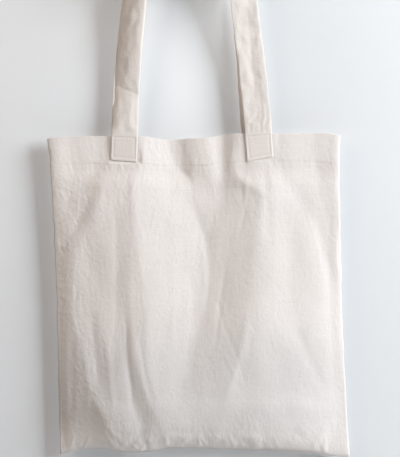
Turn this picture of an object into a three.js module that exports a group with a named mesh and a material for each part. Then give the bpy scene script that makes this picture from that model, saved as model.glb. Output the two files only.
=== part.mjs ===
// Canvas tote bag, hanging by both of its shoulder straps.
//
// Millimetres, +Z up, +X to the right of somebody who faces the bag, -Y towards
// them. The origin is where the bag hangs: the underside of the straps' crowns.
//
// The bag is two rectangles of canvas joined by a seam down each side and one
// along the bottom, with the seam allowances turned inside. The mouth is finished
// with a deep turned-in hem. Each panel carries one strap, whose two ends are
// sewn to the outside of the panel just under its top edge with a rectangle of
// stitching. The cloth is drawn as shallow dished shells of plain thickness.

import * as THREE from 'three';

// ---------------------------------------------------------------- dimensions
const BAG_WIDTH = 380;          // across the side seams
const BAG_HEIGHT = 420;         // top edge to bottom seam
const HEM_DEPTH = 40;           // turned-in hem at the mouth
const CLOTH = 1.0;              // panel shell thickness
const HEM_THICK = 2.2;          // panel plus its turned-in hem
const SEAM_GAP = 1.6;           // half the space left between the panels' edges
const DISH = 6.4;               // how far each panel stands out from its edges
const DISH_TOP = 5.9;           // the same at the mouth
const FLAT_TOP = 90;            // height under the top edge where the flat ends
const CLEAR = 0.3;              // gap between neighbouring pieces

const SEAM_WIDTH = 10;          // seam allowance
const SEAM_HALF = 0.6;          // half its thickness, two layers of cloth
const OVERLOCK_WRAP = 3;        // width of the thread wrapped round its raw edge
const OVERLOCK_IN = SEAM_HALF + CLEAR;
const OVERLOCK_OUT = OVERLOCK_IN + 0.4;

const STRAP_WIDTH = 35;
const STRAP_THICK = 1.6;
const STRAP_CENTRE = 89;        // from the middle of the bag to a sewn end
const STRAP_SEWN = 32;          // length sewn to the panel
const LEG_RISE = 204;           // straight part of a strap above the top edge
const LEG_LEAN = 0.0945;        // how much the legs draw together, per unit of rise
const CROWN_R = 70;             // centre-line radius of the crown
const CROWN_Y = 18.5;           // each crown's distance from the middle plane
const TWIST_FROM = 110;         // along the strap, where its quarter turn starts
const TWIST_TO = 255;           // and where it is complete

const THREAD = 0.5;             // stitching, drawn as a continuous bead
const BOX_INSET = 3.5;          // box stitch, in from the strap's edges
const BOX_WIDE = 1.0;

// ---------------------------------------------------------------- derived
const leanAngle = Math.atan(LEG_LEAN);
const legEndX = STRAP_CENTRE - LEG_RISE * LEG_LEAN;
const legLength = LEG_RISE / Math.cos(leanAngle);
const crownR = legEndX / Math.cos(leanAngle);
const crownSweep = Math.PI - 2 * leanAngle;
const crownLength = crownR * crownSweep;
const freeLength = 2 * legLength + crownLength;
const crownCentreRise = LEG_RISE - crownR * Math.sin(leanAngle);
const TOP = -(crownCentreRise + crownR - STRAP_THICK / 2);   // top edge of the bag
const BOTTOM = TOP - BAG_HEIGHT;
const HALF_W = BAG_WIDTH / 2;
if (Math.abs(crownR - CROWN_R) > 1.5) throw new Error('crown radius drifted');

const panelFaceTop = SEAM_GAP + CLOTH + DISH_TOP;            // outer face at the mouth
const strapInner = panelFaceTop + CLEAR;
const strapMid = strapInner + STRAP_THICK / 2;
const strapOuter = strapInner + STRAP_THICK;

// ---------------------------------------------------------------- helpers
const root = new THREE.Group();

function finish(name, geometry, colour, roughness) {
  geometry.deleteAttribute('uv');
  geometry.computeVertexNormals();
  const mesh = new THREE.Mesh(
    geometry,
    new THREE.MeshStandardMaterial({ color: colour, roughness, metalness: 0 })
  );
  mesh.name = name;
  root.add(mesh);
  return mesh;
}

function interpolate(stops, at) {
  if (at <= stops[0][0]) return stops[0][1];
  for (let i = 1; i < stops.length; i++) {
    const [b, vb] = stops[i];
    const [a, va] = stops[i - 1];
    if (at <= b) return va + ((vb - va) * (at - a)) / (b - a);
  }
  return stops[stops.length - 1][1];
}

// A plate over a grid of x and z stations, with an outer and an inner face given
// as distances from the middle plane. side is -1 for the front, +1 for the back.
function shell(xs, zs, outer, inner, side) {
  const g = new THREE.BoxGeometry(1, 1, 1, xs.length - 1, 1, zs.length - 1);
  const p = g.attributes.position;
  for (let i = 0; i < p.count; i++) {
    const x = xs[Math.round((p.getX(i) + 0.5) * (xs.length - 1))];
    const z = zs[Math.round((p.getZ(i) + 0.5) * (zs.length - 1))];
    // The box's -Y face becomes the front's outer face and the back's inner face.
    const isOuter = side < 0 ? p.getY(i) < 0 : p.getY(i) > 0;
    p.setXYZ(i, x, side * (isOuter ? outer(x, z) : inner(x, z)), z);
  }
  return g;
}

function block(x0, x1, y0, y1, z0, z1) {
  const g = new THREE.BoxGeometry(x1 - x0, y1 - y0, z1 - z0);
  g.translate((x0 + x1) / 2, (y0 + y1) / 2, (z0 + z1) / 2);
  return g;
}

// ---------------------------------------------------------------- panels
const acrossStops = [[0, 1], [152, 1], [166, 0.82], [176, 0.58], [184, 0.3], [190, 0]];
const upStops = [[0, 0], [5, 0.3], [12, 0.58], [22, 0.82], [36, 1], [BAG_HEIGHT, 1]];
const hemStops = [[0, 1], [168, 1], [178, 0], [190, 0]];

const panelX = [-190, -184, -178, -172, -166, -152, -76, 0, 76, 152, 166, 172, 178, 184, 190];
const panelUp = [0, 5, 12, 22, 36, 130, 230, BAG_HEIGHT - FLAT_TOP,
  BAG_HEIGHT - HEM_DEPTH - 1, BAG_HEIGHT - HEM_DEPTH, BAG_HEIGHT];

function dish(x, z) {
  const up = z - BOTTOM;
  const depth = interpolate([[BAG_HEIGHT - FLAT_TOP, DISH], [BAG_HEIGHT, DISH_TOP]], up);
  return depth * interpolate(acrossStops, Math.abs(x)) * interpolate(upStops, up);
}
const panelInner = (x, z) => {
  const inHem = interpolate(
    [[BAG_HEIGHT - HEM_DEPTH - 1, 0], [BAG_HEIGHT - HEM_DEPTH, 1]], z - BOTTOM);
  return SEAM_GAP + dish(x, z)
    - (HEM_THICK - CLOTH) * inHem * interpolate(hemStops, Math.abs(x));
};
const panelOuter = (x, z) => SEAM_GAP + CLOTH + dish(x, z);

const CANVAS = 0xe2dad3;
const CANVAS_SHADE = 0xd8cfc6;
const STRAP = 0xe4ddd6;
const COTTON_THREAD = 0xefe9e0;

for (const [word, side] of [['front', -1], ['back', 1]]) {
  const zs = panelUp.map((up) => BOTTOM + up);
  finish(`${word}_panel`, shell(panelX, zs, panelOuter, panelInner, side),
    side < 0 ? CANVAS : CANVAS_SHADE, 0.92);
}

// ---------------------------------------------------------------- seams
// The allowances of both panels, bound together, point in from each side seam and
// up from the bottom seam. Overlocking thread wraps their raw edges.
function overlock(length) {
  const s = new THREE.Shape();
  const out = OVERLOCK_OUT, inn = OVERLOCK_IN, web = 0.5, w = OVERLOCK_WRAP;
  s.moveTo(0, -out); s.lineTo(w + CLEAR + web, -out); s.lineTo(w + CLEAR + web, out);
  s.lineTo(0, out); s.lineTo(0, inn); s.lineTo(w + CLEAR, inn);
  s.lineTo(w + CLEAR, -inn); s.lineTo(0, -inn); s.closePath();
  return new THREE.ExtrudeGeometry(s, { depth: length, bevelEnabled: false, steps: 1 });
}

const seamReach = HALF_W - SEAM_WIDTH;                    // inner raw edge of a side seam
const overlockReach = seamReach - CLEAR - 0.5;            // and of its thread
for (const [word, side] of [['left', -1], ['right', 1]]) {
  const a = side * HALF_W, b = side * seamReach;
  finish(`${word}_side_seam`,
    block(Math.min(a, b), Math.max(a, b), -SEAM_HALF, SEAM_HALF, BOTTOM, TOP - CLEAR),
    CANVAS_SHADE, 0.92);
  const g = overlock(BAG_HEIGHT - CLEAR);
  if (side > 0) g.rotateZ(Math.PI);
  g.translate(side * (seamReach + OVERLOCK_WRAP), 0, BOTTOM);
  finish(`${word}_seam_overlock`, g, COTTON_THREAD, 0.8);
}
{
  const reach = overlockReach - CLEAR;
  finish('bottom_seam',
    block(-reach, reach, -SEAM_HALF, SEAM_HALF, BOTTOM, BOTTOM + SEAM_WIDTH),
    CANVAS_SHADE, 0.92);
  // Section in X,Y extruded along Z, turned so that it opens downwards along X.
  const g = overlock(2 * reach);
  g.rotateY(-Math.PI / 2);
  g.translate(reach, 0, BOTTOM + SEAM_WIDTH - OVERLOCK_WRAP);
  finish('bottom_seam_overlock', g, COTTON_THREAD, 0.8);
}

// ---------------------------------------------------------------- stitching of the hem
for (const [word, side] of [['front', -1], ['back', 1]]) {
  const xs = [-184, -178, -172, -166, -152, 0, 152, 166, 172, 178, 184];
  const z = TOP - HEM_DEPTH + 2;
  const stitchIn = (x, zz) => panelOuter(x, zz) + CLEAR;
  const stitchOut = (x, zz) => panelOuter(x, zz) + CLEAR + THREAD;
  finish(`${word}_hem_stitch`, shell(xs, [z - 0.5, z + 0.5], stitchOut, stitchIn, side),
    COTTON_THREAD, 0.8);
}

// ---------------------------------------------------------------- strap ends
for (const [face, fy] of [['front', -1], ['back', 1]]) {
  for (const [word, sx] of [['left', -1], ['right', 1]]) {
    const cx = sx * STRAP_CENTRE;
    const half = STRAP_WIDTH / 2;
    const ya = fy * strapInner, yb = fy * strapOuter;
    finish(`${face}_strap_${word}_end`,
      block(cx - half, cx + half, Math.min(ya, yb), Math.max(ya, yb), TOP - STRAP_SEWN, TOP - 0.1),
      STRAP, 0.92);

    // The box stitch: a closed rectangle of thread on the strap's outer face.
    const w = half - BOX_INSET, lo = -STRAP_SEWN + BOX_INSET, hi = -1.5;
    const outline = new THREE.Shape();
    outline.moveTo(-w, lo); outline.lineTo(w, lo); outline.lineTo(w, hi); outline.lineTo(-w, hi);
    outline.closePath();
    const v = w - BOX_WIDE;
    const hole = new THREE.Path();
    hole.moveTo(-v, lo + BOX_WIDE); hole.lineTo(-v, hi - BOX_WIDE);
    hole.lineTo(v, hi - BOX_WIDE); hole.lineTo(v, lo + BOX_WIDE); hole.closePath();
    outline.holes.push(hole);
    const g = new THREE.ExtrudeGeometry(outline, { depth: THREAD, bevelEnabled: false, steps: 1 });
    g.rotateX(Math.PI / 2);                               // shape's Y to +Z, depth to -Y
    const outerY = fy * (strapOuter + CLEAR + (fy < 0 ? 0 : THREAD));
    g.translate(cx, outerY, TOP);
    finish(`${face}_${word}_box_stitch`, g, COTTON_THREAD, 0.8);
  }
}

// ---------------------------------------------------------------- straps
// A flat band on one smooth centre line: up the left leg, over the crown and down
// the right leg. It turns a quarter turn about its own line on the way up, so that
// it lies flat over whatever it hangs on.
function strapLine(s) {
  const c = Math.cos(leanAngle), n = Math.sin(leanAngle);
  if (s <= legLength) {
    return { x: -STRAP_CENTRE + s * n, z: TOP + s * c, tx: n, tz: c };
  }
  if (s >= legLength + crownLength) {
    const r = freeLength - s;
    return { x: STRAP_CENTRE - r * n, z: TOP + r * c, tx: n, tz: -c };
  }
  const a = Math.PI - leanAngle - (s - legLength) / crownR;
  return {
    x: crownR * Math.cos(a), z: TOP + crownCentreRise + crownR * Math.sin(a),
    tx: Math.sin(a), tz: -Math.cos(a),
  };
}
const smooth = (t) => { const u = Math.min(1, Math.max(0, t)); return u * u * (3 - 2 * u); };

function strap(fy) {
  const steps = 44;
  const g = new THREE.BoxGeometry(1, 1, 1, 2, 1, steps);
  const p = g.attributes.position;
  for (let i = 0; i < p.count; i++) {
    const across = p.getX(i) * STRAP_WIDTH;
    const through = p.getY(i) * STRAP_THICK;
    const s = (p.getZ(i) + 0.5) * freeLength;
    const near = Math.min(s, freeLength - s);
    const at = strapLine(s);
    const y = fy * (strapMid + (CROWN_Y - strapMid) * smooth(near / (legLength * 0.9)));
    const turn = smooth((near - TWIST_FROM) / (TWIST_TO - TWIST_FROM)) * Math.PI / 2;
    const tangent = new THREE.Vector3(at.tx, 0, at.tz);
    const outward = new THREE.Vector3(-at.tz, 0, at.tx);
    const face = new THREE.Vector3(0, fy, 0).multiplyScalar(Math.cos(turn))
      .addScaledVector(outward, Math.sin(turn));
    const wide = new THREE.Vector3().crossVectors(tangent, face);
    // through runs from the inner face to the outer face; keep the box right-handed.
    const place = new THREE.Vector3(at.x, y, at.z)
      .addScaledVector(wide, -across).addScaledVector(face, through);
    p.setXYZ(i, place.x, place.y, place.z);
  }
  // The band's own ends stand clear of the sewn ends by the usual gap.
  for (let i = 0; i < p.count; i++) p.setZ(i, Math.max(p.getZ(i), TOP + 0.2));
  return g;
}
finish('front_strap', strap(-1), STRAP, 0.92);
finish('back_strap', strap(1), STRAP, 0.92);

export default root;
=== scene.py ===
import bpy, math
import numpy as np
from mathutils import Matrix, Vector


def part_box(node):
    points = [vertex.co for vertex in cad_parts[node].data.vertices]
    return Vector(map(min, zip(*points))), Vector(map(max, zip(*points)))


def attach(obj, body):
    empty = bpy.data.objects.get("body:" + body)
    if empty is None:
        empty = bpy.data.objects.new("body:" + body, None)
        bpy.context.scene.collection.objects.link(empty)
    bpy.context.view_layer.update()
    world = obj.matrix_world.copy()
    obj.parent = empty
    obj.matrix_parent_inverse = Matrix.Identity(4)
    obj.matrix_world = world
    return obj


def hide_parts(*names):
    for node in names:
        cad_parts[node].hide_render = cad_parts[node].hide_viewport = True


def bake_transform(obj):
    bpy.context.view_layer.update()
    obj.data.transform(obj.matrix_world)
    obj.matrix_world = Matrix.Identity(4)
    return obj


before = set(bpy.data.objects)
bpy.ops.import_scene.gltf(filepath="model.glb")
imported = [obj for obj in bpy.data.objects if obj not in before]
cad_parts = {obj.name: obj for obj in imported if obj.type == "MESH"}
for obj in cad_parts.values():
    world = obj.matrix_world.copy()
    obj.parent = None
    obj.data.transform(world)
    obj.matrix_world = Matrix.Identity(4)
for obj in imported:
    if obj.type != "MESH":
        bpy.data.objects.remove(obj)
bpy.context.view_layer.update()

# ------------------------------------------------------------------ from the frame, in mm
def mm_box(node):
    lo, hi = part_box(node)
    return np.array(lo) * 1000.0, np.array(hi) * 1000.0

_lo, _hi = mm_box("front_panel")
TOP, BOTTOM = float(_hi[2]), float(_lo[2])
HEIGHT = TOP - BOTTOM
HALF = float(_hi[0])
_sl, _sh = mm_box("front_strap_left_end")
STRAP_X = abs(float(_sl[0] + _sh[0]) / 2)
STRAP_W = float(_sh[0] - _sl[0])
SEWN = 32.0
HEM = 40.0
_cl, _ch = mm_box("front_strap")
CROWN_TOP = float(_ch[2])

# ------------------------------------------------------------------ small helpers
def smooth(t):
    t = np.clip(t, 0.0, 1.0)
    return t * t * (3 - 2 * t)

def curve(points, t):
    """Smooth interpolation of [(t, value), ...]."""
    ts = np.array([p[0] for p in points], float)
    vs = np.array([p[1] for p in points], float)
    # monotone-ish cubic through the points
    m = np.gradient(vs, ts)
    t = np.clip(np.asarray(t, float), ts[0], ts[-1])
    i = np.clip(np.searchsorted(ts, t, side="right") - 1, 0, len(ts) - 2)
    h = ts[i + 1] - ts[i]
    u = (t - ts[i]) / h
    return ((1 + 2 * u) * (1 - u) ** 2 * vs[i] + u * (1 - u) ** 2 * h * m[i]
            + u * u * (3 - 2 * u) * vs[i + 1] + u * u * (u - 1) * h * m[i + 1])

def spectral(shape, step, low, high, seed, stretch=(1.0, 1.0), angle=0.0, slope=1.0):
    """Band-limited noise on a grid (rows down, columns across), unit deviation. Wavelengths low..high in mm."""
    rng = np.random.RandomState(seed)
    rows, cols = shape
    pr, pc = rows + 64, cols + 64
    white = np.fft.fft2(rng.standard_normal((pr, pc)))
    fd = np.fft.fftfreq(pr, step)[:, None]
    fx = np.fft.fftfreq(pc, step)[None, :]
    ca, sa = math.cos(angle), math.sin(angle)
    fu = (fx * ca + fd * sa) * stretch[0]
    fv = (-fx * sa + fd * ca) * stretch[1]
    f = np.hypot(fu, fv) + 1e-9
    keep = 1 / (1 + (f * low) ** 6) * (1 - 1 / (1 + (f * high) ** 4)) * f ** (-slope)
    out = np.real(np.fft.ifft2(white * keep))[:rows, :cols]
    return (out - out.mean()) / out.std()

def stroke(field, X, D, pts, w, a, side=0.0, ends=0.25):
    """Adds one soft fold along a polyline: a ridge (a > 0) or a valley (a < 0) w wide. side adds a step across it."""
    pts = np.array(pts, float)
    lo, hi = pts.min(0) - 3.2 * w, pts.max(0) + 3.2 * w
    sel = (X > lo[0]) & (X < hi[0]) & (D > lo[1]) & (D < hi[1])
    if not sel.any():
        return
    x, d = X[sel], D[sel]
    seg = np.diff(pts, axis=0)
    ln = np.hypot(seg[:, 0], seg[:, 1])
    total, run = ln.sum(), 0.0
    best = np.full(x.shape, 1e9)
    along = np.zeros(x.shape)
    sign = np.ones(x.shape)
    for p, s, l in zip(pts[:-1], seg, ln):
        t = np.clip(((x - p[0]) * s[0] + (d - p[1]) * s[1]) / l ** 2, 0, 1)
        qx, qd = x - p[0] - t * s[0], d - p[1] - t * s[1]
        q = np.hypot(qx, qd)
        nearer = q < best
        best = np.where(nearer, q, best)
        along = np.where(nearer, (run + t * l) / total, along)
        sign = np.where(nearer, np.sign(qx * s[1] - qd * s[0]), sign)
        run += l
    fade = smooth(along / ends) * smooth((1 - along) / ends)
    u = best / w
    field[sel] += fade * a * np.exp(-u * u) * (1 + side * sign * u)

def crinkles(field, step, x0, d0, count, seed, region, length, width, height, angle, spread, curl=0.012):
    """Many short sharp creases. region(rng) gives a centre, angle is measured from straight down, + to the right."""
    rng = np.random.RandomState(seed)
    rows, cols = field.shape
    for _ in range(count):
        cx, cd, bias = region(rng)
        L = rng.uniform(*length)
        w = rng.uniform(*width)
        h = rng.uniform(*height) * (1 if rng.rand() < 0.6 else -0.8)
        a = math.radians(angle + bias + rng.normal(0, spread))
        k = rng.uniform(-curl, curl)
        r = L + 3 * w
        c0, c1 = int((cx - r - x0) / step), int((cx + r - x0) / step) + 2
        r0, r1 = int((cd - r - d0) / step), int((cd + r - d0) / step) + 2
        c0, c1, r0, r1 = max(0, c0), min(cols, c1), max(0, r0), min(rows, r1)
        if c1 <= c0 or r1 <= r0:
            continue
        xx = (x0 + step * np.arange(c0, c1))[None, :] - cx
        dd = (d0 + step * np.arange(r0, r1))[:, None] - cd
        p = xx * math.sin(a) + dd * math.cos(a)
        q = xx * math.cos(a) - dd * math.sin(a) - k * p * p
        t = np.clip(1 - (p / L) ** 2, 0, 1)
        u = q / w
        skew = rng.uniform(-0.9, 0.9)
        field[r0:r1, c0:c1] += h * t * t * np.exp(-u * u) * (1 + skew * u)

def make(name, verts_mm, faces, flat=None, smooth_shade=True):
    me = bpy.data.meshes.new(name)
    me.from_pydata((np.asarray(verts_mm, float) * 0.001).tolist(), [], [tuple(int(i) for i in f) for f in faces])
    if flat is not None:
        at = me.attributes.new("cloth_flat", "FLOAT_VECTOR", "POINT")
        full = np.zeros((len(flat), 3), np.float32)
        full[:, : np.asarray(flat).shape[1]] = np.asarray(flat) * 0.001
        at.data.foreach_set("vector", full.ravel())
    me.validate()
    if smooth_shade:
        me.polygons.foreach_set("use_smooth", [True] * len(me.polygons))
    me.update()
    ob = bpy.data.objects.new(name, me)
    bpy.context.scene.collection.objects.link(ob)
    return ob

def grid_faces(rows, cols, offset=0, flip=False, wrap=False):
    r, c = np.meshgrid(np.arange(rows - 1), np.arange(cols if wrap else cols - 1), indexing="ij")
    a = offset + r * cols + c
    b = offset + r * cols + (c + 1) % cols
    q = np.stack([a, b, b + cols, a + cols], -1).reshape(-1, 4)
    return q[:, ::-1] if flip else q

# ------------------------------------------------------------------ how the hanging bag is drawn out of true
def top_edge(x):
    # rise of the mouth's edge, mm, across the bag: a soft wave between the straps
    return curve([(-190, -1.0), (-160, 0.6), (-130, 1.2), (-95, 0.6), (-60, -0.6), (-45, -2.6), (-33, -4.2),
                  (-18, -3.6), (10, -2.6), (28, -1.0), (45, 1.6), (70, 2.2), (100, 1.6), (150, 1.2), (175, 0.6), (190, -1.6)], x)

def bottom_edge(x):
    # the bottom seam is drawn up between its corners
    return curve([(-190, 0.0), (-184, 1.0), (-170, 4.6), (-150, 7.4), (-135, 8.2), (-118, 6.2), (-100, 4.0), (-84, 3.4),
                  (-70, 5.4), (-50, 8.6), (-10, 9.8), (40, 9.2), (75, 8.0), (105, 7.2), (130, 5.8), (155, 3.4),
                  (172, 1.6), (190, 0.0)], x)

def sway(d):
    return 0.030 * d

def draw_in(x, d, side=-1):
    # the side seams are pulled in a little by the folds
    t = np.clip(d / HEIGHT, 0, 1)
    left = 2.4 * np.sin(math.pi * t ** 0.8) - 2.4 * np.exp(-d / 26.0)
    right = 3.2 * np.sin(math.pi * t ** 1.5) - 3.0 * np.exp(-d / 40.0)
    return left * np.clip(-x / HALF, 0, 1) ** 2 - right * np.clip(x / HALF, 0, 1) ** 2

_er = np.random.RandomState(404)
_ex = np.linspace(-200, 200, 34)
_eb, _et = _er.normal(0, 0.42, 34), _er.normal(0, 0.22, 34)
_ed = np.linspace(-10, 440, 40)
_el, _eg = _er.normal(0, 0.30, 40), _er.normal(0, 0.30, 40)

def place(x, d, y):
    """Cloth coordinates (across, down from the mouth, out from the middle plane) to the row frame, mm."""
    x, d, y = np.broadcast_arrays(np.asarray(x, float), np.asarray(d, float), np.asarray(y, float))
    zt = TOP + top_edge(x) + np.interp(x, _ex, _et)
    zb = BOTTOM + bottom_edge(x) + curve(list(zip(_ex, _eb)), x)
    t = d / HEIGHT
    x = x + curve(list(zip(_ed, _el)), d) * np.clip(-x / HALF, 0, 1) ** 4 + curve(list(zip(_ed, _eg)), d) * np.clip(x / HALF, 0, 1) ** 4
    return np.stack([x + draw_in(x, d) + sway(d), y, zt + (zb - zt) * t], -1)

# ------------------------------------------------------------------ the drape of each panel
STEP = 1.25
EDGE = 188.125
COLS = int(round(2 * EDGE / STEP)) + 1
ROWS = int(round((HEIGHT - 2.0) / STEP)) + 1
gx = -EDGE + STEP * np.arange(COLS)
gd = STEP * np.arange(ROWS)
GX, GD = np.meshgrid(gx, gd)

SEAT = {}

def band(X, D, centre, half, amount, soft):
    """A strip of cloth that slopes: amount is its slope across, + rising to the right. centre, half, amount run down the bag."""
    c, w, a = curve(centre, D), curve(half, D), curve(amount, D)
    return a * 0.5 * (np.tanh((X - c + w) / soft) - np.tanh((X - c - w) / soft))

def drape(which):
    """How far the cloth stands out from its seams, mm, over the grid."""
    X, D = GX, GD
    ax = np.abs(X) / EDGE
    seed = 11 if which == "front" else 57
    full = curve([(0, 3.2), (80, 3.6), (160, 4.4), (260, 5.2), (350, 6.4), (420, 7.0)], D)
    power = curve([(0, 14), (120, 13), (260, 8), (350, 5), (420, 4)], D)
    lens = full * (1 - ax ** power)
    low = np.sqrt(np.clip(1 - np.clip(1 - (HEIGHT - 2 - D) / 22.0, 0, 1) ** 2, 0, 1))     # rolls under into the bottom seam
    low = 0.42 * smooth((HEIGHT - 2 - D) / 66.0) + 0.58 * low
    if which == "front":
        g = band(X, D, [(0, -112), (30, -114), (58, -128), (84, -141), (116, -151), (150, -168), (215, -178), (280, -172), (346, -164), (380, -152), (420, -146)],
                 [(0, 9), (58, 10), (84, 17), (116, 13), (150, 11), (215, 12), (280, 16), (346, 25), (380, 33), (420, 36)],
                 [(0, 0.03), (30, 0.08), (84, 0.14), (130, 0.11), (180, 0.09), (215, 0.10), (280, 0.15), (346, 0.21), (380, 0.28), (420, 0.34)], 5)
        g = g + band(X, D, [(0, -118), (150, -126), (300, -124), (420, -118)], [(0, 20), (420, 24)],
                     [(0, 0), (150, 0.0), (215, 0.04), (290, 0.08), (340, 0.12), (380, 0.11), (420, 0.06)], 6)
        g = g + band(X, D, [(0, -89), (84, -89), (215, -93), (280, -90), (313, -83), (346, -74), (380, -63), (420, -56)],
                 [(0, 8), (215, 7), (346, 9), (420, 13)],
                 [(0, 0.03), (84, 0.07), (200, 0.09), (280, 0.15), (346, 0.22), (385, 0.20), (420, 0.10)], 3)
        g = g + band(X, D, [(0, -47), (14, -47), (40, -43), (58, -41), (84, -41), (116, -36), (150, -30), (215, -27), (280, -36), (313, -39), (346, -40), (372, -42), (420, -44)],
                 [(0, 16), (14, 17), (40, 25), (58, 36), (84, 37), (116, 42), (150, 45), (215, 40), (280, 29), (313, 25), (346, 17), (372, 6), (420, 5)],
                 [(0, -0.25), (26, -0.22), (58, -0.175), (84, -0.175), (150, -0.165), (215, -0.15), (280, -0.12), (330, -0.085), (346, -0.06), (380, -0.01), (420, 0)], 3.2)
        g = g + band(X, D, [(0, 49), (58, 49), (84, 64), (116, 52), (150, 43), (215, 35), (280, 23), (313, 16), (420, 10)],
                 [(0, 9), (58, 11), (84, 28), (116, 30), (150, 34), (215, 33), (280, 29), (313, 24), (420, 20)],
                 [(0, 0.27), (30, 0.26), (58, 0.18), (84, 0.11), (150, 0.10), (215, 0.10), (280, 0.09), (313, 0.09), (346, 0.07), (380, 0.04), (420, 0)], 4.5)
        g = g + band(X, D, [(0, 142), (58, 142), (215, 138), (300, 130), (420, 136)],
                 [(0, 36), (58, 38), (215, 46), (300, 52), (420, 48)],
                 [(0, -0.01), (58, -0.045), (130, -0.07), (215, -0.08), (300, -0.07), (420, -0.06)], 7)
        g = g + band(X, D, [(0, 104), (84, 106), (215, 100), (300, 88), (420, 80)], [(0, 10), (84, 17), (215, 20), (420, 16)],
                     [(0, 0), (50, -0.02), (84, -0.06), (215, -0.05), (300, -0.02), (420, 0)], 5)
        g = g + band(X, D, [(0, -174), (120, -178), (420, -178)], [(0, 14), (90, 9), (420, 8)], [(0, -0.05), (60, -0.06), (100, -0.03), (140, 0), (420, 0)], 5)
        g = g + band(X, D, [(0, -182), (420, -182)], [(0, 5), (420, 5.5)], [(0, 0), (150, 0.0), (240, 0.03), (320, 0.12), (370, 0.30), (420, 0.55)], 3)
        g = g + band(X, D, [(0, 176), (420, 178)], [(0, 13), (90, 12), (420, 8)], [(0, 0.05), (90, 0.08), (120, 0.05), (150, 0), (420, 0)], 5)
        g = g + band(X, D, [(0, 181), (420, 182)], [(0, 6), (420, 6)], [(0, 0.0), (60, 0.02), (100, 0.10), (220, 0.12), (280, 0.08), (340, 0.06), (420, 0.03)], 3)
        # small ripples of the slack mouth between the straps
        hem = 1 - smooth((D - 44) / 26)
        for c, w, a in ((-11, 9, 0.22), (6, 7, 0.06), (27, 9, -0.15), (-172, 12, -0.07), (180, 12, 0.08), (68, 7, 0.06), (118, 8, 0.06), (140, 9, -0.05), (162, 9, 0.09), (-140, 9, -0.05), (-160, 9, -0.04)):
            g = g + hem * a * np.exp(-((X - c - 0.10 * D) / w) ** 2)
    else:
        g = band(X, D, [(0, -110), (84, -138), (150, -160), (280, -172), (380, -156), (420, -150)],
                 [(0, 9), (84, 15), (150, 12), (280, 16), (380, 30), (420, 33)],
                 [(0, 0.04), (84, 0.11), (150, 0.11), (280, 0.11), (380, 0.12), (420, 0.1)], 5)
        g = g + band(X, D, [(0, -40), (84, -36), (150, -26), (215, -34), (300, -50), (420, -54)],
                 [(0, 22), (84, 32), (150, 38), (215, 34), (300, 22), (420, 10)],
                 [(0, -0.09), (84, -0.11), (150, -0.11), (215, -0.10), (300, -0.08), (380, -0.02), (420, 0)], 5)
        g = g + band(X, D, [(0, 46), (84, 50), (150, 52), (215, 44), (300, 26), (420, 20)],
                 [(0, 12), (84, 24), (150, 27), (215, 32), (300, 24), (420, 12)],
                 [(0, 0.10), (84, 0.10), (150, 0.09), (215, 0.09), (300, 0.06), (360, 0.01), (420, 0)], 5)
        g = g + band(X, D, [(0, 116), (84, 138), (150, 158), (280, 168), (420, 150)],
                 [(0, 12), (84, 15), (150, 14), (280, 18), (420, 34)],
                 [(0, -0.05), (84, -0.11), (150, -0.10), (280, -0.10), (420, -0.10)], 6)
        hem = 1 - smooth((D - 44) / 26)
        for c, w, a in ((-22, 8, 0.09), (-2, 8, -0.06), (30, 9, 0.10), (-134, 9, 0.05), (128, 8, -0.06), (158, 8, 0.05)):
            g = g + hem * a * np.exp(-((X - c + 0.08 * D) / w) ** 2)
    rise = np.cumsum(g, axis=1) * STEP
    t = (X + EDGE) / (2 * EDGE)
    rise = rise - rise[:, :1] - (rise[:, -1:] - rise[:, :1]) * t
    H = lens + rise * RELIEF * (1 - 0.25 * smooth((D - 380) / 40))
    if which == "front":
        # low down both panels meet the bottom seam, so deep hollows are lifted there
        lifted = 0.5 * (H - 0.4 + np.sqrt((H - 0.4) ** 2 + 1.2))
        H = H + (lifted - H) * smooth((D - 330) / 60)
    else:
        # where the front waves past the bag's middle, the back gives way behind it
        least = -1.0 - DRAPE["front"]
        H = 0.5 * (H + least + np.sqrt((H - least) ** 2 + 1.5))

    f = np.zeros_like(H)
    if which == "front":
        S = lambda pts, w, a, side=0.0, ends=0.25: stroke(f, X, D, pts, w, a, side, ends)
        # pulls from the outer corners of the strap ends towards the side seams
        S([(-124, 58), (-148, 104), (-176, 150)], 6, -0.5, 0.0, 0.3)
        S([(-150, 60), (-163, 100), (-172, 140)], 8, 0.5)
        S([(-104, 60), (-104, 150), (-108, 250), (-112, 330)], 5, -0.35)
        S([(104, 34), (122, 66), (148, 100), (176, 146)], 9, -0.35)
        S([(112, 42), (140, 54), (172, 72)], 8, -0.25)
        S([(118, 60), (136, 110), (150, 170), (160, 240)], 12, 0.2)
        S([(158, 110), (170, 160), (180, 200)], 7, -0.6)
        S([(126, 250), (146, 300), (166, 340)], 8, -0.6)
        # under the strap ends
        S([(-89, 34), (-86, 90), (-80, 150)], 6, -0.3)
        S([(92, 36), (96, 90), (96, 160)], 6, -0.5)
        S([(70, 44), (66, 84), (58, 120)], 3.6, 0.36, 0.4)
        S([(62, 60), (64, 110), (54, 140)], 3.6, -0.3, 0.3)
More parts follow.
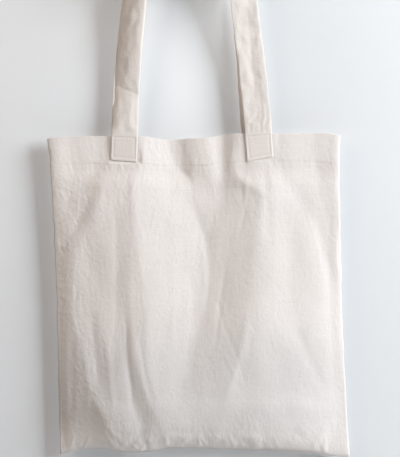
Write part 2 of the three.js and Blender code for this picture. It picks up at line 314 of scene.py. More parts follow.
        # the middle, where the cloth falls together in V shapes
        S([(-76, 250), (-70, 310), (-58, 366)], 4, -0.5, -0.3, 0.3)
        S([(-96, 220), (-94, 290), (-88, 352), (-80, 384)], 4, -0.7, 0.5, 0.3)
        S([(-30, 150), (-30, 220), (-38, 300)], 5, 0.25)
        S([(-6, 180), (-8, 240), (-16, 300)], 4, -0.25, 0.3)
        S([(40, 160), (30, 220), (22, 270), (14, 296)], 3.6, -0.36, 0.4)
        S([(22, 200), (34, 250), (52, 300), (62, 336)], 3.2, -0.22, -0.4)
        S([(66, 230), (58, 280), (40, 330), (30, 352)], 5, 0.5)
        S([(30, 284), (44, 316), (60, 338)], 2.6, 0.22, 0.4)
        S([(6, 120), (10, 190), (2, 260)], 5, 0.35)
        S([(-140, 230), (-136, 290), (-130, 344)], 5, -0.7)
        S([(-124, 250), (-118, 310), (-112, 380)], 5, 0.6)
        S([(-152, 270), (-146, 330), (-150, 375)], 5, 0.6)
        S([(-166, 250), (-170, 320), (-172, 380)], 6, -0.6)
        # slack cloth above the bottom seam
        S([(-140, 410), (-122, 386), (-100, 402)], 6, 0.8)
        S([(-100, 416), (-86, 396), (-70, 384)], 5, -0.9, 0.4)
        S([(-60, 414), (-40, 398), (-10, 406)], 7, 0.6)
        S([(20, 412), (50, 396), (84, 404)], 7, 0.6)
        S([(96, 412), (120, 392), (140, 404)], 6, -0.5)
        S([(140, 416), (160, 384), (180, 366)], 6, 0.8)
        S([(60, 366), (110, 352), (160, 362)], 12, 0.7)
    else:
        rng = np.random.RandomState(5)
        for cx in (-165, -140, -112, -60, -36, -8, 18, 46, 70, 112, 134, 160):
            x1 = cx + rng.uniform(-8, 8)
            top = rng.uniform(50, 150)
            bot = top + rng.uniform(120, 230)
            stroke(f, X, D, [(cx, top), (x1, (top + bot) / 2), (x1 + rng.uniform(-16, 16), min(bot, 396))],
                   rng.uniform(4, 7), rng.choice([-1, 1]) * rng.uniform(0.35, 0.7), rng.uniform(-0.5, 0.5))
        for pts, a in (([(-106, 44), (-134, 88), (-174, 150)], -0.8), ([(106, 44), (132, 80), (176, 138)], -0.8),
                       ([(30, 200), (20, 270), (0, 320)], -0.6), ([(-30, 220), (-10, 290), (6, 330)], -0.5),
                       ([(-130, 412), (-104, 390), (-80, 402)], 0.8), ([(40, 412), (70, 394), (100, 404)], 0.7)):
            stroke(f, X, D, pts, 6, a, 0.2)

    # gentle unevenness everywhere, then the crushed finish of washed cotton
    f += 0.22 * spectral(X.shape, STEP, 26, 90, seed + 1, (1.0, 2.2), slope=1.4)
    tilt = math.radians(26)
    fine = spectral(X.shape, STEP, 2.6, 12, seed + 2, (1.0, 2.0), tilt, 0.8)
    fine2 = spectral(X.shape, STEP, 2.6, 10, seed + 3, (1.0, 1.7), -tilt * 0.7, 0.8)
    patch = 0.55 + 0.45 * smooth(0.5 + 0.5 * spectral(X.shape, STEP, 30, 120, seed + 4, slope=1.0))
    side_zone = smooth((ax - 0.6) / 0.35)
    f += patch * (0.030 + 0.016 * side_zone * (X < 0)) * (fine + 0.8 * fine2)
    f -= patch * 0.05 * np.abs(spectral(X.shape, STEP, 4, 18, seed + 5, (1.0, 2.4), tilt * 0.6, 0.9))

    crush = np.zeros_like(f)
    everywhere = lambda r: (r.uniform(-186, 186), r.uniform(4, 412), 0.0)
    crinkles(crush, STEP, gx[0], gd[0], 2600, seed + 6, everywhere, (3, 12), (0.85, 1.3), (0.04, 0.12), -18, 34)
    crinkles(crush, STEP, gx[0], gd[0], 300, seed + 7, everywhere, (14, 46), (1.0, 1.8), (0.06, 0.17), -4, 12, 0.002)
    lefts = lambda r: (-188 + abs(r.normal(0, 30)), r.uniform(30, 415), 22.0)
    rights = lambda r: (188 - abs(r.normal(0, 22)), r.uniform(30, 415), -20.0 if r.rand() < 0.5 else 30)
    crinkles(crush, STEP, gx[0], gd[0], 1000, seed + 8, lefts, (3, 11), (0.85, 1.25), (0.05, 0.15), 18, 26)
    crinkles(crush, STEP, gx[0], gd[0], 400, seed + 9, rights, (3, 12), (0.9, 1.5), (0.05, 0.15), 8, 30)
    under = lambda r: (r.choice([-1, 1]) * (STRAP_X + r.normal(0, 22)), 34 + abs(r.normal(0, 34)), 0.0)
    crinkles(crush, STEP, gx[0], gd[0], 260, seed + 10, under, (4, 16), (0.9, 1.5), (0.05, 0.17), 0, 22, 0.004)
    foot = lambda r: (r.uniform(-184, 184), 416 - abs(r.normal(0, 14)), 0.0)
    crinkles(crush, STEP, gx[0], gd[0], 420, seed + 11, foot, (3, 10), (0.9, 1.7), (0.05, 0.18), 0, 60)
    gathers = lambda r: (r.uniform(-180, 180), 414 - abs(r.normal(0, 5)), 0.0)
    crinkles(crush, STEP, gx[0], gd[0], 46, seed + 15, gathers, (9, 24), (2.2, 4.2), (0.35, 0.85), 0, 34)
    # puckers that run in from the side seams
    seamside = lambda r: (r.choice([-1, 1]) * (188 - abs(r.normal(0, 5))), r.uniform(6, 412), 90.0)
    crinkles(crush, STEP, gx[0], gd[0], 260, seed + 13, seamside, (3, 9), (1.2, 2.4), (0.08, 0.26), 0, 12)
    mouth = lambda r: (r.uniform(-64, 64), abs(r.normal(0, 44)), 0.0)
    crinkles(crush, STEP, gx[0], gd[0], 150, seed + 16, mouth, (5, 20), (0.9, 1.6), (0.07, 0.20), 4, 26, 0.006)
    f += crush * (1.16 - 0.64 * smooth((X + 150) / 260)) if which == "front" else crush

    # the hem: three layers stand a touch proud, and the stitching pulls a fine groove with puckers
    stitch = 0.7 * np.sin(X / 23.0) + 0.4 * np.sin(X / 9.0 + 1)
    line = D - (HEM - 1.5) - stitch
    uneven = 0.35 + 0.65 * smooth(0.5 + 0.6 * spectral((1, COLS), STEP, 14, 90, seed + 20, slope=0.6))
    f += 0.22 * smooth(-line / 4.0) - 0.15 * uneven * np.exp(-(line / 1.6) ** 2)
    rng = np.random.RandomState(seed + 12)
    pucker = np.interp(X[0], np.linspace(-190, 190, 170), rng.uniform(-1, 1, 170))[None, :]
    f += 0.13 * pucker * np.exp(-np.clip(np.abs(line) / 5.5, 0, 6) ** 2)

    # flat and quiet under the sewn strap ends
    for sx in (-1, 1):
        near = smooth((23.5 - np.abs(X - sx * STRAP_X)) / 5.0) * smooth((38.5 - D) / 5.0)
        f = f * (1 - near)
        here = (np.abs(X - sx * STRAP_X) < 16) & (D < 32)
        target = float(H[here].mean())
        H = H * (1 - near) + target * near
        SEAT[(which, sx)] = target
    # the edges themselves
    edge = smooth((1 - ax) * EDGE / 3.0)
    H = H * low + f * edge * smooth((HEIGHT - 2 - D) / 3.0)
    return H

RELIEF = 1.38
DRAPE = {}
for _w in ("front", "back"):
    DRAPE[_w] = drape(_w)
SEAM_Y = 0.38
ROLL = 2.0

def surface(which, x, d):
    """The panel's middle surface, as a distance from the bag's middle plane, at cloth coordinates, mm."""
    H = DRAPE[which]
    x, d = np.asarray(x, float), np.asarray(d, float)
    cx = np.clip((x - gx[0]) / STEP, 0, COLS - 1.001)
    cd = np.clip((d - gd[0]) / STEP, 0, ROWS - 1.001)
    i, j = cd.astype(int), cx.astype(int)
    u, v = cd - i, cx - j
    h = (H[i, j] * (1 - u) * (1 - v) + H[i + 1, j] * u * (1 - v) + H[i, j + 1] * (1 - u) * v + H[i + 1, j + 1] * u * v)
    return SEAM_Y + ROLL + h

def build_panel(which):
    side = -1.0 if which == "front" else 1.0
    H = DRAPE[which]
    # columns: the roll into the left seam, the grid, the roll into the right seam
    angles = np.radians([90, 67.5, 45, 22.5])
    cx = np.concatenate([-(EDGE + ROLL * np.sin(angles)), gx, (EDGE + ROLL * np.sin(angles))[::-1]])
    ce = np.concatenate([np.cos(angles), np.ones(COLS), np.cos(angles)[::-1]])
    Hc = np.concatenate([H[:, :1]] * 4 + [H] + [H[:, -1:]] * 4, axis=1)
    rb = np.radians([22.5, 45, 67.5, 90])
    top_r = 0.68
    rd = np.concatenate([[top_r], gd[1:], HEIGHT - ROLL + ROLL * np.sin(rb)])
    re = np.concatenate([np.ones(ROWS), np.cos(rb)])
    Hc = np.concatenate([Hc] + [Hc[-1:]] * 4, axis=0)
    Y = SEAM_Y + ROLL * ce[None, :] * re[:, None] + Hc * ce[None, :] * re[:, None]
    XX, DD = np.meshgrid(cx, rd)
    V = place(XX, DD, side * Y)
    rows, cols = XX.shape
    verts = [V.reshape(-1, 3)]
    flat = [np.stack([XX, DD], -1).reshape(-1, 2)]
    wx = [XX.ravel()]
    faces = [grid_faces(rows, cols, 0, flip=side > 0)]

    # the turned-in hem: over the top edge and 40 mm down the inside
    inner = np.where(np.abs(cx) <= 186.0)[0]
    xi = cx[inner]
    yo = Y[0, inner]
    fold = np.radians([45, 90, 135, 180])
    count = len(inner)
    base = rows * cols
    rows_in, flats, ws = [], [], []
    for a in fold:
        p = place(xi, np.full(count, top_r), side * (yo - top_r + top_r * np.cos(a)))
        p[:, 2] += top_r * math.sin(a)
        rows_in.append(p)
        flats.append(np.stack([xi, np.full(count, -top_r * a)], -1))
        ws.append(xi)
    depth = np.concatenate([np.arange(2.4, HEM - 1.6, 1.6), [HEM - 1.0, HEM]])
    rag = 0.5 * np.sin(xi / 17.0) + 0.3 * np.sin(xi / 5.0)
    for dd in depth:
        yo2 = surface(which, xi, np.full(count, dd))
        gap = 2 * top_r + 0.25 * math.sin(dd / 6.0) * np.sin(xi / 31.0) ** 2
        d_use = np.full(count, dd) + rag * smooth((dd - 20) / 20)
        rows_in.append(place(xi, d_use, side * (yo2 - gap)))
        flats.append(np.stack([xi, -d_use], -1))
        ws.append(xi)
    verts.append(np.concatenate(rows_in))
    flat.append(np.concatenate(flats))
    wx.append(np.concatenate(ws))
    faces.append(grid_faces(len(rows_in), count, base, flip=side < 0))
    # join the outer top row to the first fold row
    top_ids = inner
    a, b = top_ids[:-1], top_ids[1:]
    c, d = base + np.arange(1, count), base + np.arange(0, count - 1)
    join = np.stack([a, b, c, d], -1)
    faces.append(join[:, ::-1] if side < 0 else join)
    verts, flat, wx = np.concatenate(verts), np.concatenate(flat), np.concatenate(wx)
    name = f"{which}_cloth"
    ob = make(name, verts, np.concatenate(faces), flat)
    thick = ob.modifiers.new("cloth", "SOLIDIFY")
    thick.thickness, thick.offset, thick.use_even_offset = 0.0005, 0.0, False
    return ob, wx

# ------------------------------------------------------------------ thread
def stitch_run(points, out, pitch, length, radius, seed=1, sides=6, lift=0.25):
    """Separate stitches along a polyline lying on cloth: each a bead that dips in at both ends. points and out are Nx3."""
    rng = np.random.RandomState(seed)
    points, out = np.asarray(points, float), np.asarray(out, float)
    seg = np.linalg.norm(np.diff(points, axis=0), axis=1)
    s = np.concatenate([[0], np.cumsum(seg)])
    total = s[-1]
    n = max(1, int(round(total / pitch)))
    pitch = total / n
    at = lambda t: np.stack([np.interp(t, s, points[:, k]) for k in range(3)], -1)
    no = lambda t: np.stack([np.interp(t, s, out[:, k]) for k in range(3)], -1)
    verts, faces, flat, where = [], [], [], []
    rings = 5
    for i in range(n):
        mid = (i + 0.5) * pitch
        half = length * pitch / 2
        ts = mid + np.linspace(-1, 1, rings) * half
        c, o = at(ts), no(ts)
        prof = np.array([0.55, 0.92, 1.0, 0.92, 0.55])
        dip = np.array([-0.9, 0.15, 0.55, 0.15, -0.9]) * radius
        c = c + o * (dip + lift * radius)[:, None]
        c = c + rng.normal(0, 0.03, 3)
        tang = np.gradient(c, axis=0)
        tang /= np.linalg.norm(tang, axis=1)[:, None]
        b = np.cross(tang, o)
        b /= np.linalg.norm(b, axis=1)[:, None]
        nn = np.cross(b, tang)
        base = len(verts)
        for k in range(rings):
            for q in range(sides):
                a = 2 * math.pi * q / sides
                verts.append(c[k] + radius * prof[k] * (math.cos(a) * b[k] + math.sin(a) * nn[k]))
                flat.append((q * 0.3, float(ts[k])))
                where.append(i)
        for k in range(rings - 1):
            for q in range(sides):
                a0, a1 = base + k * sides + q, base + k * sides + (q + 1) % sides
                faces.append((a0, a1, a1 + sides, a0 + sides))
        for end, flip in ((0, True), (rings - 1, False)):
            ring = [base + end * sides + q for q in range(sides)]
            mid_i = len(verts)
            verts.append(c[end])
            flat.append((0, float(ts[end])))
            where.append(i)
            for q in range(sides):
                tri = (ring[q], ring[(q + 1) % sides], mid_i)
                faces.append(tri[::-1] if flip else tri)
    return verts, faces, flat

def merge(parts):
    verts, faces, flat = [], [], []
    for v, f, t in parts:
        base = len(verts)
        verts += list(v)
        faces += [tuple(i + base for i in q) for q in f]
        flat += list(t)
    return verts, faces, flat

# ------------------------------------------------------------------ materials
def nodes_of(name, base, rough):
    m = bpy.data.materials.new(name)
    m.use_nodes = True
    nt = m.node_tree
    bsdf = nt.nodes["Principled BSDF"]
    bsdf.inputs["Base Color"].default_value = (*base, 1)
    bsdf.inputs["Roughness"].default_value = rough
    bsdf.inputs["Specular IOR Level"].default_value = 0.25
    bsdf.inputs["Sheen Weight"].default_value = 0.12
    bsdf.inputs["Sheen Roughness"].default_value = 0.55
    return m, nt, bsdf

def cloth_material(name, base, pitch=0.62, bump=0.56, fleck=1.0, painted_shade=0.0):
    """Plain-weave natural cotton: threads, slubs, faint mottling, tiny seed flecks."""
    m, nt, bsdf = nodes_of(name, base, 0.9)
    N, L = nt.nodes, nt.links
    def node(kind, **kw):
        n = N.new(kind)
        for k, v in kw.items():
            setattr(n, k, v)
        return n
    def math_(op, a, b=None, c=None):
        n = node("ShaderNodeMath", operation=op)
        for i, v in enumerate((a, b, c)):
            if v is None:
                continue
            if isinstance(v, (int, float)):
                n.inputs[i].default_value = v
            else:
                L.new(v, n.inputs[i])
        return n.outputs[0]
    def noise(vec, scale, detail=2.0, rough=0.5, stretch=(1, 1, 1), turn=0.0):
        mp = node("ShaderNodeMapping")
        mp.inputs["Scale"].default_value = stretch
        mp.inputs["Rotation"].default_value = (0, 0, turn)
        L.new(vec, mp.inputs["Vector"])
        n = node("ShaderNodeTexNoise")
        n.inputs["Scale"].default_value = scale
        n.inputs["Detail"].default_value = detail
        n.inputs["Roughness"].default_value = rough
        L.new(mp.outputs[0], n.inputs["Vector"])
        return n.outputs["Fac"]
    at = node("ShaderNodeAttribute", attribute_name="cloth_flat")
    flat = at.outputs["Vector"]
    wob = node("ShaderNodeTexNoise")
    wob.inputs["Scale"].default_value = 160
    wob.inputs["Detail"].default_value = 2
    L.new(flat, wob.inputs["Vector"])
    add = node("ShaderNodeVectorMath", operation="MULTIPLY_ADD")
    L.new(wob.outputs["Color"], add.inputs[0])
    add.inputs[1].default_value = (0.0004, 0.0004, 0)
    L.new(flat, add.inputs[2])
    sep = node("ShaderNodeSeparateXYZ")
    L.new(add.outputs[0], sep.inputs[0])
    k = math.pi / (pitch * 0.001)
    sx = math_("SINE", math_("MULTIPLY", sep.outputs[0], k))
    sy = math_("SINE", math_("MULTIPLY", sep.outputs[1], k))
    weave = math_("MULTIPLY", sx, sy)
    rib = math_("MULTIPLY_ADD", math_("ABSOLUTE", sx), 0.5, math_("MULTIPLY", math_("ABSOLUTE", sy), 0.5))
    slub_x = noise(flat, 1.0, 3.0, 0.6, (28, 1100, 1))
    slub_y = noise(flat, 1.0, 3.0, 0.6, (1300, 24, 1))
    crush = noise(flat, 210, 3.0, 0.62, (1.0, 0.55, 1), 0.45)
    ridge = math_("ABSOLUTE", math_("SUBTRACT", crush, 0.5))
    crush2 = noise(flat, 520, 2.0, 0.6, (1.0, 0.6, 1), -0.3)
    h = math_("MULTIPLY_ADD", weave, 0.10, math_("MULTIPLY", rib, 0.10))
    h = math_("MULTIPLY_ADD", slub_x, 0.32, h)
    h = math_("MULTIPLY_ADD", slub_y, 0.26, h)
    h = math_("MULTIPLY_ADD", ridge, -1.35, h)
    h = math_("MULTIPLY_ADD", crush2, 0.35, h)
    b = node("ShaderNodeBump")
    b.inputs["Strength"].default_value = bump
    b.inputs["Distance"].default_value = 0.0006
    L.new(h, b.inputs["Height"])
    L.new(b.outputs[0], bsdf.inputs["Normal"])

    # colour: threads, slubs, a faint wash mottle and seed flecks
    light = tuple(min(1, c * f) for c, f in zip(base, (1.045, 1.045, 1.05)))
    dark = tuple(c * f for c, f in zip(base, (0.90, 0.885, 0.86)))
    mot = noise(flat, 9.0, 4.0, 0.6)
    tone = math_("MULTIPLY_ADD", mot, 0.45, math_("MULTIPLY", slub_x, 0.32))
    tone = math_("MULTIPLY_ADD", slub_y, 0.26, tone)
    tone = math_("MULTIPLY_ADD", weave, 0.05, tone)
    ramp = node("ShaderNodeMapRange")
    ramp.inputs["From Min"].default_value = 0.30
    ramp.inputs["From Max"].default_value = 0.72
    L.new(tone, ramp.inputs["Value"])
    mix = node("ShaderNodeMix", data_type="RGBA")
    L.new(ramp.outputs[0], mix.inputs["Factor"])
    mix.inputs[6].default_value = (*dark, 1)
    mix.inputs[7].default_value = (*light, 1)
    vor = node("ShaderNodeTexVoronoi", feature="F1")
    vor.inputs["Scale"].default_value = 62
    L.new(flat, vor.inputs["Vector"])
    spot = math_("LESS_THAN", vor.outputs["Distance"], 0.028)
    chance = node("ShaderNodeSeparateColor")
    L.new(vor.outputs["Color"], chance.inputs[0])
    few = math_("MULTIPLY", math_("LESS_THAN", chance.outputs[0], 0.13), 0.42 * fleck)
    fl = math_("MULTIPLY", spot, few)
    mix2 = node("ShaderNodeMix", data_type="RGBA")
    L.new(fl, mix2.inputs["Factor"])
    L.new(mix.outputs[2], mix2.inputs[6])
    mix2.inputs[7].default_value = (0.16, 0.10, 0.055, 1)
    colour = mix2.outputs[2]
    if painted_shade:
        # painted shade: the foot of the bag is darkened and greyed, most of all on the left, where the light falls off
        place_ = node("ShaderNodeSeparateXYZ")
        L.new(flat, place_.inputs[0])
        def ease(value, lo, hi):
            r = node("ShaderNodeMapRange", interpolation_type="SMOOTHSTEP")
            r.inputs["From Min"].default_value = lo
            r.inputs["From Max"].default_value = hi
            L.new(value, r.inputs["Value"])
            return r.outputs[0]
        foot = math_("MULTIPLY_ADD", ease(place_.outputs[1], 0.362, 0.404), -0.85, ease(place_.outputs[1], 0.22, 0.33))
        across = math_("SUBTRACT", 1.0, ease(place_.outputs[0], 0.10, 0.26))
        cloud = math_("MULTIPLY_ADD", noise(flat, 14.0, 3.0, 0.55), 0.7, 0.65)
        amount = math_("MULTIPLY", math_("MULTIPLY", foot, across), math_("MULTIPLY", cloud, painted_shade))
        # and painted shade along its bottom fold and left side edge, where the cloth rolls away from the light
        turned = math_("MULTIPLY", ease(place_.outputs[1], 0.412, 0.4195), 0.16)
        turned = math_("MULTIPLY_ADD", ease(math_("MULTIPLY", place_.outputs[0], -1.0), 0.1865, 0.1898), 0.25, turned)
        amount = math_("ADD", amount, math_("MULTIPLY", turned, math_("MULTIPLY_ADD", noise(flat, 60.0, 2.0, 0.6), 1.0, 0.5)))
        shade_multiply = node("ShaderNodeMix", data_type="RGBA", blend_type="MULTIPLY")
        L.new(amount, shade_multiply.inputs["Factor"])
        L.new(colour, shade_multiply.inputs[6])
        shade_multiply.inputs[7].default_value = (0.0, 0.09, 0.17, 1)
        colour = shade_multiply.outputs[2]
    L.new(colour, bsdf.inputs["Base Color"])
    rr = math_("MULTIPLY_ADD", slub_x, -0.10, 0.95)
    L.new(rr, bsdf.inputs["Roughness"])
    return m

def thread_material(name, base):
    m, nt, bsdf = nodes_of(name, base, 0.78)
    N, L = nt.nodes, nt.links
    at = N.new("ShaderNodeAttribute"); at.attribute_name = "cloth_flat"
    sep = N.new("ShaderNodeSeparateXYZ"); L.new(at.outputs["Vector"], sep.inputs[0])
    mul = N.new("ShaderNodeMath"); mul.operation = "MULTIPLY_ADD"
    L.new(sep.outputs[1], mul.inputs[0]); mul.inputs[1].default_value = 9000
    k = N.new("ShaderNodeMath"); k.operation = "MULTIPLY"; L.new(sep.outputs[0], k.inputs[0]); k.inputs[1].default_value = 3500
    L.new(k.outputs[0], mul.inputs[2])
    s = N.new("ShaderNodeMath"); s.operation = "SINE"; L.new(mul.outputs[0], s.inputs[0])
    b = N.new("ShaderNodeBump"); b.inputs["Strength"].default_value = 0.5; b.inputs["Distance"].default_value = 0.0001
    L.new(s.outputs[0], b.inputs["Height"]); L.new(b.outputs[0], bsdf.inputs["Normal"])
    n = N.new("ShaderNodeTexNoise"); n.inputs["Scale"].default_value = 700; L.new(at.outputs["Vector"], n.inputs["Vector"])
    mix = N.new("ShaderNodeMix"); mix.data_type = "RGBA"; L.new(n.outputs["Fac"], mix.inputs["Factor"])
    mix.inputs[6].default_value = (*[c * 0.9 for c in base], 1)
    mix.inputs[7].default_value = (*[min(1, c * 1.06) for c in base], 1)
    L.new(mix.outputs[2], bsdf.inputs["Base Color"])
    return m

CANVAS = (0.820, 0.792, 0.776)
# the body canvas gets painted shade: a darker, greyer foot and left edge
canvas = cloth_material("natural_canvas", CANVAS, painted_shade=0.155)
strap_canvas = cloth_material("strap_canvas", (0.795, 0.760, 0.730), pitch=0.6, bump=0.6, fleck=0.6)
thread = thread_material("cotton_thread", (0.83, 0.79, 0.73))

def dress(ob, material):
    ob.data.materials.clear()
    ob.data.materials.append(material)

# ------------------------------------------------------------------ camera first
cam_data = bpy.data.cameras.new("camera")
cam = bpy.data.objects.new("camera", cam_data)
bpy.context.scene.collection.objects.link(cam)
bpy.context.scene.camera = cam
cam_data.sensor_width = 36
cam_data.lens = 66
target = Vector((0.0100, 0.0, (TOP - 121.8) * 0.001))
az = math.radians(3.6)
dist = 1.10
cam.location = target + Vector((math.sin(az), -math.cos(az), 0)) * dist
cam.rotation_mode = "QUATERNION"
look = (target - cam.location).to_track_quat("-Z", "Y")
from mathutils import Quaternion
cam.rotation_quaternion = look @ Quaternion((0, 0, 1), math.radians(-0.35))

# ------------------------------------------------------------------ the cloth panels
BODY = {"front": "front_panel", "back": "back_panel"}

def blended(ob):
    """Bakes the object's transform into its mesh."""
    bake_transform(ob)

for which in ("front", "back"):
    side = -1.0 if which == "front" else 1.0
    cloth, xs = build_panel(which)
    dress(cloth, canvas)
    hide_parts(f"{which}_panel")
    blended(cloth)

    # hem stitching, a row of separate stitches lying in its groove
    px = np.linspace(-185.5, 185.5, 900)
    pd = HEM - 1.5 + 0.7 * np.sin(px / 23.0) + 0.4 * np.sin(px / 9.0 + 1)
    py = surface(which, px, pd) + 0.25
    pts = place(px, pd, side * py)
    out = np.tile([0, side, 0], (len(px), 1)).astype(float)
    v, f, t = stitch_run(pts, out, 3.1, 0.80, 0.25, seed=3)
    hem = make(f"{which}_hem_thread", v, f, t)
    dress(hem, thread)
    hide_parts(f"{which}_hem_stitch")
    blended(hem)

# ------------------------------------------------------------------ seams inside the bag
for word, sx in (("left", -1), ("right", 1)):
    ds = np.linspace(1.2, HEIGHT - 1.5, 240)
    rng = np.random.RandomState(21 if sx < 0 else 22)
    wave = 0.35 * np.interp(ds, np.linspace(0, HEIGHT, 70), rng.uniform(-1, 1, 70))
    edge_w = 0.4 * np.interp(ds, np.linspace(0, HEIGHT, 90), rng.uniform(-1, 1, 90))
    us = np.array([189.2, 187.5, 185, 182.5, 180.2])
    ring = []
    for k, u in enumerate(us):
        half = 0.5 if k else 0.3
        ring.append((u, half))
    loop = [(u, +h) for u, h in ring] + [(u, -h) for u, h in ring[::-1]]
    V, FL = [], []
    for i, d in enumerate(ds):
        for u, h in loop:
            inner = (189.2 - u) / 9.0
            V.append((sx * (u + edge_w[i] * (inner > 0.9)), d, h + wave[i] * inner))
            FL.append((u, d + 500))
    V = np.array(V)
    n = len(loop)
    P = place(V[:, 0], V[:, 1], V[:, 2])
    F = [tuple(q) for q in grid_faces(len(ds), n, 0, flip=sx > 0, wrap=True)]
    cap0 = tuple(range(n)); cap1 = tuple(range((len(ds) - 1) * n, len(ds) * n))
    F += [cap0 if sx > 0 else cap0[::-1], cap1[::-1] if sx > 0 else cap1]
    ob = make(f"{word}_seam_allowance", P, F, FL)
    dress(ob, canvas)
    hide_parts(f"{word}_side_seam")
    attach(ob, "bag_seams")
    # overlocking: thread spiralled round the raw edge
    parts = []
    pitch = 2.4
    count = int((HEIGHT - 8) / pitch)
    path, outs = [], []
    for i in range(count * 8 + 1):
        a = 2 * math.pi * i / 8
        d = 3 + pitch * i / 8
        w = float(np.interp(d, ds, wave))
        cx = 181.6 + 1.9 * math.cos(a)
        yy = w + 0.78 * math.sin(a)
        path.append((sx * cx, d, yy))
        outs.append((math.cos(a) * sx, 0, math.sin(a)))
    path = np.array(path)
    Pp = place(path[:, 0], path[:, 1], path[:, 2])
    tang = np.gradient(Pp, axis=0)
    tang /= np.linalg.norm(tang, axis=1)[:, None]
    oo = np.array(outs)
    bb = np.cross(tang, oo); bb /= np.linalg.norm(bb, axis=1)[:, None]
    nn = np.cross(bb, tang)
    V, F, FL = [], [], []
    sides = 5
    for i in range(len(Pp)):
        for q in range(sides):
            a = 2 * math.pi * q / sides
            V.append(Pp[i] + 0.2 * (math.cos(a) * bb[i] + math.sin(a) * nn[i]))
            FL.append((q * 0.3, i * 0.5))
    F = [tuple(q) for q in grid_faces(len(Pp), sides, 0, wrap=True)]
    F += [tuple(range(sides))[::-1], tuple(range((len(Pp) - 1) * sides, len(Pp) * sides))]
    ob = make(f"{word}_overlock_thread", V, F, FL)
    dress(ob, thread)
    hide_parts(f"{word}_seam_overlock")
    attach(ob, "bag_seams")

# bottom seam allowance and its thread
xs_b = np.linspace(-178, 178, 240)
rng = np.random.RandomState(31)
wave = 0.35 * np.interp(xs_b, np.linspace(-180, 180, 60), rng.uniform(-1, 1, 60))
loop = [(0.9, 0.4), (3, 0.5), (6, 0.5), (9.6, 0.5), (9.6, -0.5), (6, -0.5), (3, -0.5), (0.9, -0.4)]
V, FL = [], []
for i, x in enumerate(xs_b):
    for up, h in loop:
        V.append((x, HEIGHT - up, h + wave[i] * up / 9.6))
        FL.append((x, up + 800))
V = np.array(V)
P = place(V[:, 0], V[:, 1], V[:, 2])
n = len(loop)
F = [tuple(q) for q in grid_faces(len(xs_b), n, 0, wrap=True)]
F += [tuple(range(n))[::-1], tuple(range((len(xs_b) - 1) * n, len(xs_b) * n))]
ob = make("bottom_seam_allowance", P, F, FL)
dress(ob, canvas)
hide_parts("bottom_seam")
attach(ob, "bag_seams")
path, outs = [], []
pitch = 2.4
count = int(352 / pitch)
for i in range(count * 8 + 1):
    a = 2 * math.pi * i / 8
    x = -176 + pitch * i / 8
    w = float(np.interp(x, xs_b, wave))
    path.append((x, HEIGHT - 8.2 - 1.9 * math.cos(a), w + 0.78 * math.sin(a)))
    outs.append((0, math.sin(a), math.cos(a)))
path = np.array(path)
Pp = place(path[:, 0], path[:, 1], path[:, 2])
oo = np.array(outs)
tang = np.gradient(Pp, axis=0); tang /= np.linalg.norm(tang, axis=1)[:, None]
bb = np.cross(tang, oo); bb /= np.linalg.norm(bb, axis=1)[:, None]
nn = np.cross(bb, tang)
V, FL = [], []
for i in range(len(Pp)):
    for q in range(5):
        a = 2 * math.pi * q / 5
        V.append(Pp[i] + 0.2 * (math.cos(a) * bb[i] + math.sin(a) * nn[i]))
        FL.append((q * 0.3, i * 0.5))
F = [tuple(q) for q in grid_faces(len(Pp), 5, 0, wrap=True)]
F += [tuple(range(5))[::-1], tuple(range((len(Pp) - 1) * 5, len(Pp) * 5))]
ob = make("bottom_overlock_thread", V, F, FL)
dress(ob, thread)
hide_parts("bottom_seam_overlock")
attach(ob, "bag_seams")

# ------------------------------------------------------------------ straps
def spline(points, n):
    """A centripetal Catmull-Rom curve through points, resampled to n even steps."""
    P = np.array(points, float)
    P = np.vstack([2 * P[0] - P[1], P, 2 * P[-1] - P[-2]])
    out = []
    for i in range(1, len(P) - 2):
        p0, p1, p2, p3 = P[i - 1], P[i], P[i + 1], P[i + 2]
        t0 = 0.0
        t1 = t0 + np.linalg.norm(p1 - p0) ** 0.5
        t2 = t1 + np.linalg.norm(p2 - p1) ** 0.5
        t3 = t2 + np.linalg.norm(p3 - p2) ** 0.5
        for t in np.linspace(t1, t2, 40, endpoint=False):
            a1 = (t1 - t) / (t1 - t0) * p0 + (t - t0) / (t1 - t0) * p1
            a2 = (t2 - t) / (t2 - t1) * p1 + (t - t1) / (t2 - t1) * p2
            a3 = (t3 - t) / (t3 - t2) * p2 + (t - t2) / (t3 - t2) * p3
            b1 = (t2 - t) / (t2 - t0) * a1 + (t - t0) / (t2 - t0) * a2
            b2 = (t3 - t) / (t3 - t1) * a2 + (t - t1) / (t3 - t1) * a3
            out.append((t2 - t) / (t2 - t1) * b1 + (t - t1) / (t2 - t1) * b2)
    out.append(P[-2])
    out = np.array(out)
    s = np.concatenate([[0], np.cumsum(np.linalg.norm(np.diff(out, axis=0), axis=1))])
    u = np.linspace(0, s[-1], n)
    return np.stack([np.interp(u, s, out[:, k]) for k in range(out.shape[1])], -1), s[-1]

CROWN_Y = 18.5
T_STRAP = 1.7
def seat(which, sx):
    """The sewn end's middle, out from the bag's middle plane."""
    return SEAM_Y + ROLL + SEAT[(which, sx)] + 0.25 + T_STRAP / 2 + 0.10

